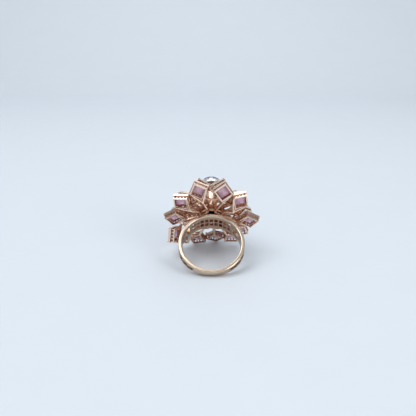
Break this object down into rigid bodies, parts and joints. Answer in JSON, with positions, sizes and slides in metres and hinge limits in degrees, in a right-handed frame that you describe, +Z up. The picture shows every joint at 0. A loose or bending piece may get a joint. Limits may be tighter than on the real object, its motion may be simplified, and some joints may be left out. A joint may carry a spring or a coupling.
{
  "type": "cocktail ring",
  "caption": "Flower-shaped cocktail ring: tiers of square open-backed stone settings around a domed centre, on a tapered pierced shank.",
  "frame": {"origin": "middle of the bounding box, on the table that the ring lies on", "axes": "+Z up from the table, +Y the way the flower leans away, +X across the finger hole"},
  "size_m": [0.0288, 0.0314, 0.025],
  "materials": {
    "rose_gold": "polished, satin on the plain part of the shank",
    "white_gold": "polished",
    "pink_stone": "faceted, polished",
    "plum_stone": "faceted, polished",
    "clear_stone": "faceted, polished"
  },
  "bodies": {
    "root": {"crown_stone": "clear_stone", "dome_baguettes": "plum_stone", "dome_frame": "white_gold", "finger_gallery": "rose_gold", "flower_stem": "rose_gold", "head_basket": "rose_gold", "heart_petal_01": "rose_gold", "heart_petal_02": "rose_gold", "heart_petal_03": "rose_gold", "heart_petal_04": "rose_gold", "heart_petal_05": "rose_gold", "heart_petal_06": "rose_gold", "heart_stones": "pink_stone", "inner_petal_01": "rose_gold", "inner_petal_02": "rose_gold", "inner_petal_03": "rose_gold", "inner_petal_04": "rose_gold", "inner_petal_05": "rose_gold", "inner_petal_06": "rose_gold", "inner_petal_07": "rose_gold", "inner_petal_08": "rose_gold", "inner_stones": "pink_stone", "middle_petal_01": "rose_gold", "middle_petal_02": "rose_gold", "middle_petal_03": "rose_gold", "middle_petal_04": "rose_gold", "middle_petal_05": "rose_gold", "middle_petal_06": "rose_gold", "middle_petal_07": "rose_gold", "middle_petal_08": "rose_gold", "middle_petal_09": "rose_gold", "middle_petal_10": "rose_gold", "middle_stones": "pink_stone", "outer_petal_01": "rose_gold", "outer_petal_02": "rose_gold", "outer_petal_03": "rose_gold", "outer_petal_04": "rose_gold", "outer_petal_05": "rose_gold", "outer_petal_06": "rose_gold", "outer_petal_07": "rose_gold", "outer_petal_08": "rose_gold", "outer_petal_09": "rose_gold", "outer_petal_10": "rose_gold", "outer_petal_11": "rose_gold", "outer_petal_12": "rose_gold", "outer_stone_01": "pink_stone", "outer_stone_02": "pink_stone", "outer_stone_03": "pink_stone", "outer_stone_04": "pink_stone", "outer_stone_05": "pink_stone", "outer_stone_06": "pink_stone", "outer_stone_07": "pink_stone", "outer_stone_08": "pink_stone", "outer_stone_09": "pink_stone", "outer_stone_10": "pink_stone", "outer_stone_11": "pink_stone", "outer_stone_12": "pink_stone", "shank": "rose_gold"}
  },
  "joints": []
}
